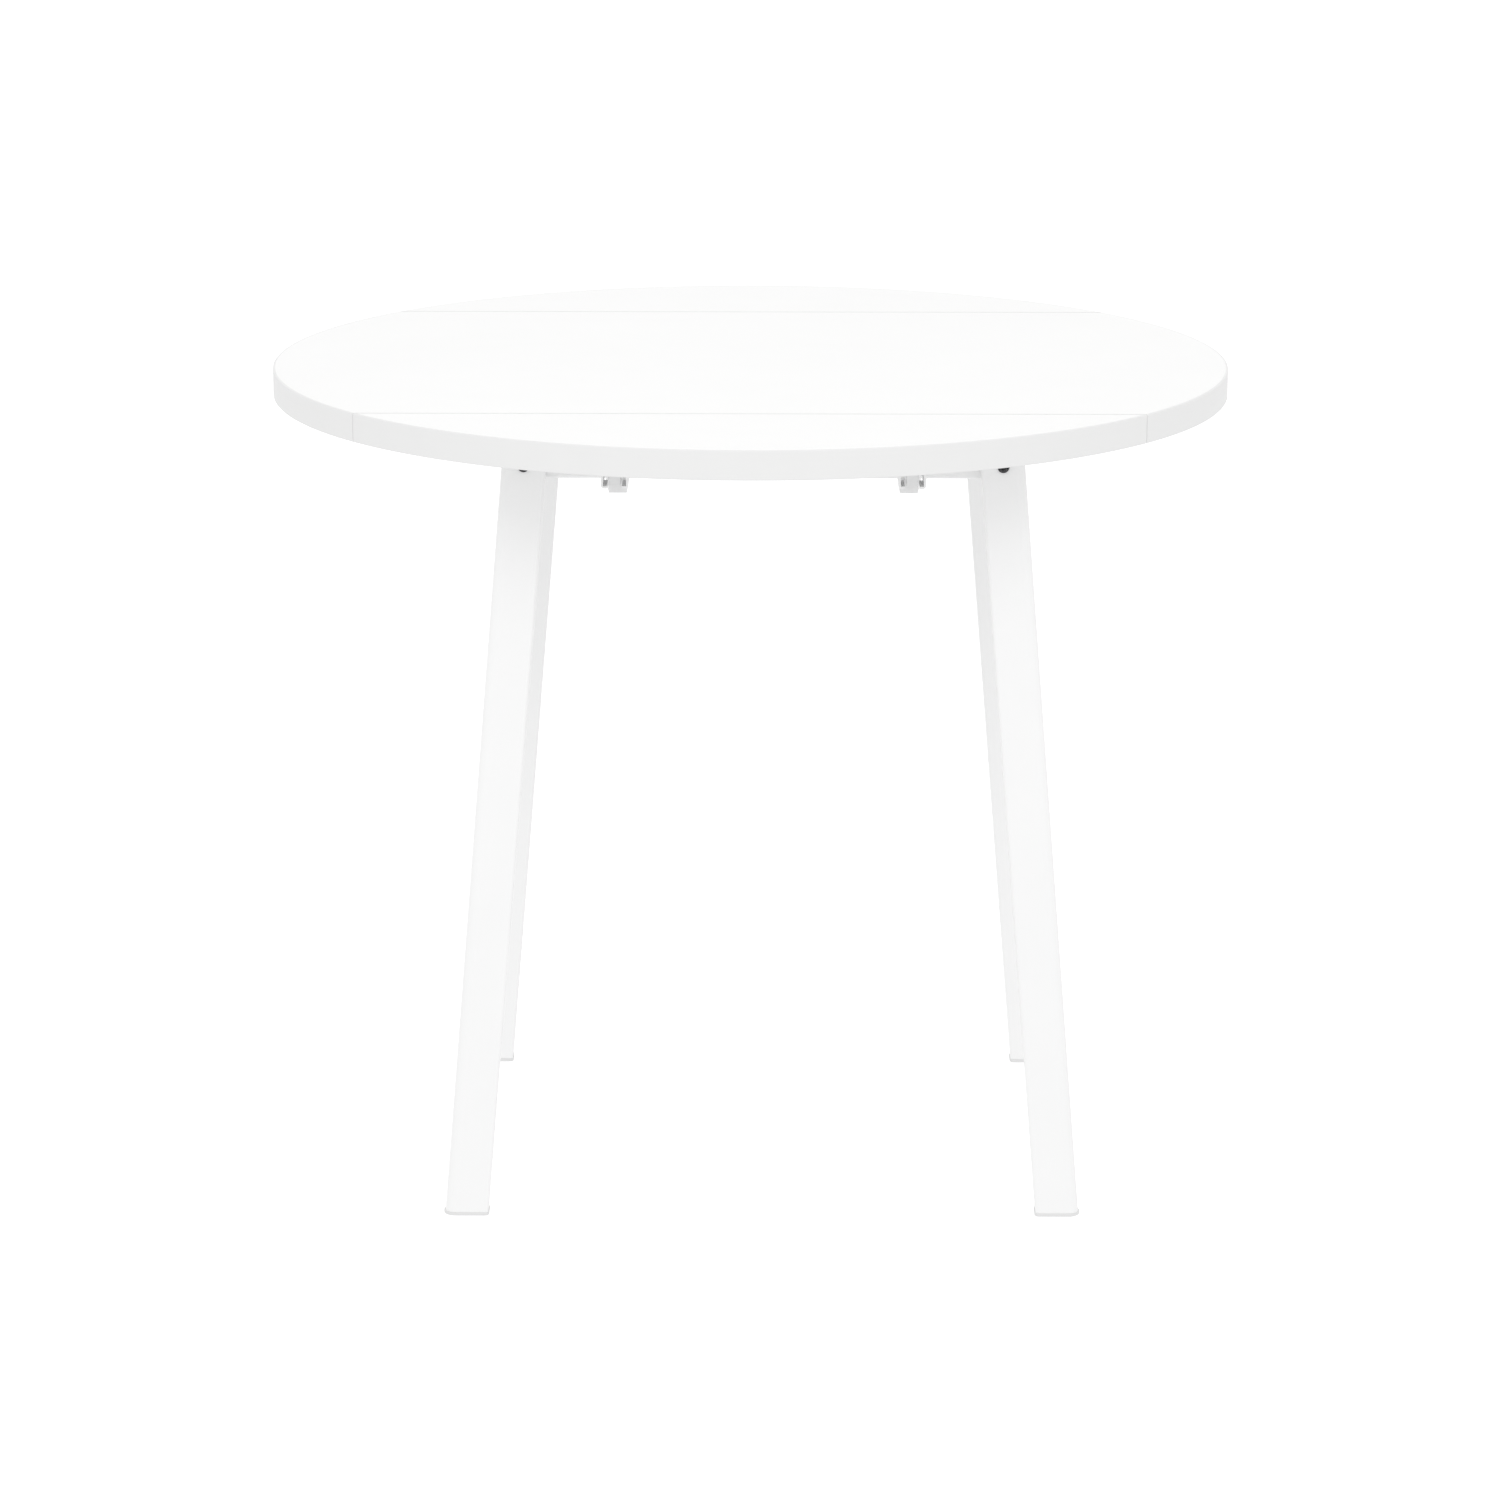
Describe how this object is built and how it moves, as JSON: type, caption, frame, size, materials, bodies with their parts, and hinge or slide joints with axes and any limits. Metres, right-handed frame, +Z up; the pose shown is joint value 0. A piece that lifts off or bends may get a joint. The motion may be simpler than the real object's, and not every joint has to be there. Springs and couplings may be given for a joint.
{
  "type": "drop-leaf table",
  "caption": "Round dining table with two hinged drop leaves on folding brackets, a fixed centre section on a steel rail frame and splayed rectangular-tube legs with plastic feet.",
  "frame": {"origin": "on the floor, under the middle of the round top", "axes": "+Z up; X runs along the seams between the leaves and the centre section; -Y is the front"},
  "size_m": [0.8888, 0.8888, 0.762],
  "materials": {
    "laminate": "white melamine-faced board, satin",
    "edging": "white edging strip, satin",
    "frame_paint": "white powder coat, fine satin texture",
    "bracket_paint": "white powder coat on pressed steel",
    "catch_paint": "pale grey-white paint",
    "white_plastic": "moulded white plastic, satin",
    "spring_steel": "bright spring steel",
    "zinc_steel": "bright zinc plate",
    "black_steel": "black oxide"
  },
  "bodies": {
    "root": {"centre_panel": "laminate", "centre_rim_edging_left": "edging", "centre_rim_edging_right": "edging", "centre_seam_edging_front": "edging", "front_rail": "frame_paint", "centre_seam_edging_back": "edging", "back_rail": "frame_paint", "left_rail": "frame_paint", "right_rail": "frame_paint", "rail_end_plugs": "white_plastic", "frame_screws": "zinc_steel", "leg_front_left": "frame_paint", "foot_front_left": "white_plastic", "fixed_channel_front_left": "bracket_paint", "leg_front_right": "frame_paint", "foot_front_right": "white_plastic", "fixed_channel_front_right": "bracket_paint", "leg_back_left": "frame_paint", "foot_back_left": "white_plastic", "fixed_channel_back_left": "bracket_paint", "leg_back_right": "frame_paint", "foot_back_right": "white_plastic", "fixed_channel_back_right": "bracket_paint", "leg_bolts": "black_steel", "weld_nuts": "zinc_steel", "hinge_pins": "zinc_steel", "stop_pins": "zinc_steel", "hinge_washers": "white_plastic", "fixed_bracket_screws": "zinc_steel"},
    "front_leaf": {"front_leaf_panel": "laminate", "front_leaf_rim_edging": "edging", "front_leaf_seam_edging": "edging", "leaf_channel_front_left": "bracket_paint", "catch_spring_front_left": "spring_steel", "leaf_channel_front_right": "bracket_paint", "catch_spring_front_right": "spring_steel", "catch_rivets_front": "zinc_steel", "leaf_bracket_screws_front": "zinc_steel"},
    "back_leaf": {"back_leaf_panel": "laminate", "back_leaf_rim_edging": "edging", "back_leaf_seam_edging": "edging", "leaf_channel_back_left": "bracket_paint", "catch_spring_back_left": "spring_steel", "leaf_channel_back_right": "bracket_paint", "catch_spring_back_right": "spring_steel", "catch_rivets_back": "zinc_steel", "leaf_bracket_screws_back": "zinc_steel"},
    "catch_front_left": {"catch_front_left": "catch_paint"},
    "catch_front_right": {"catch_front_right": "catch_paint"},
    "catch_back_left": {"catch_back_left": "catch_paint"},
    "catch_back_right": {"catch_back_right": "catch_paint"}
  },
  "joints": [
    {"name": "front_leaf_fold", "type": "hinge", "parent": "root", "child": "front_leaf", "pos_m": [0.012, -0.275, 0.726], "axis": [1, 0, 0], "range_deg": [0, 90]},
    {"name": "back_leaf_fold", "type": "hinge", "parent": "root", "child": "back_leaf", "pos_m": [0.012, 0.275, 0.726], "axis": [-1, 0, 0], "range_deg": [0, 90]},
    {"name": "catch_front_left_release", "type": "hinge", "parent": "front_leaf", "child": "catch_front_left", "pos_m": [-0.117, -0.315, 0.726], "axis": [1, 0, 0], "range_deg": [0, 5], "stiffness_Nm_per_rad": 0.05, "springref_deg": -17.19, "deforming": ["catch_spring_front_left"]},
    {"name": "catch_front_right_release", "type": "hinge", "parent": "front_leaf", "child": "catch_front_right", "pos_m": [0.141, -0.315, 0.726], "axis": [1, 0, 0], "range_deg": [0, 5], "stiffness_Nm_per_rad": 0.05, "springref_deg": -17.19, "deforming": ["catch_spring_front_right"]},
    {"name": "catch_back_left_release", "type": "hinge", "parent": "back_leaf", "child": "catch_back_left", "pos_m": [-0.117, 0.315, 0.726], "axis": [-1, 0, 0], "range_deg": [0, 5], "stiffness_Nm_per_rad": 0.05, "springref_deg": -17.19, "deforming": ["catch_spring_back_left"]},
    {"name": "catch_back_right_release", "type": "hinge", "parent": "back_leaf", "child": "catch_back_right", "pos_m": [0.141, 0.315, 0.726], "axis": [-1, 0, 0], "range_deg": [0, 5], "stiffness_Nm_per_rad": 0.05, "springref_deg": -17.19, "deforming": ["catch_spring_back_right"]}
  ]
}
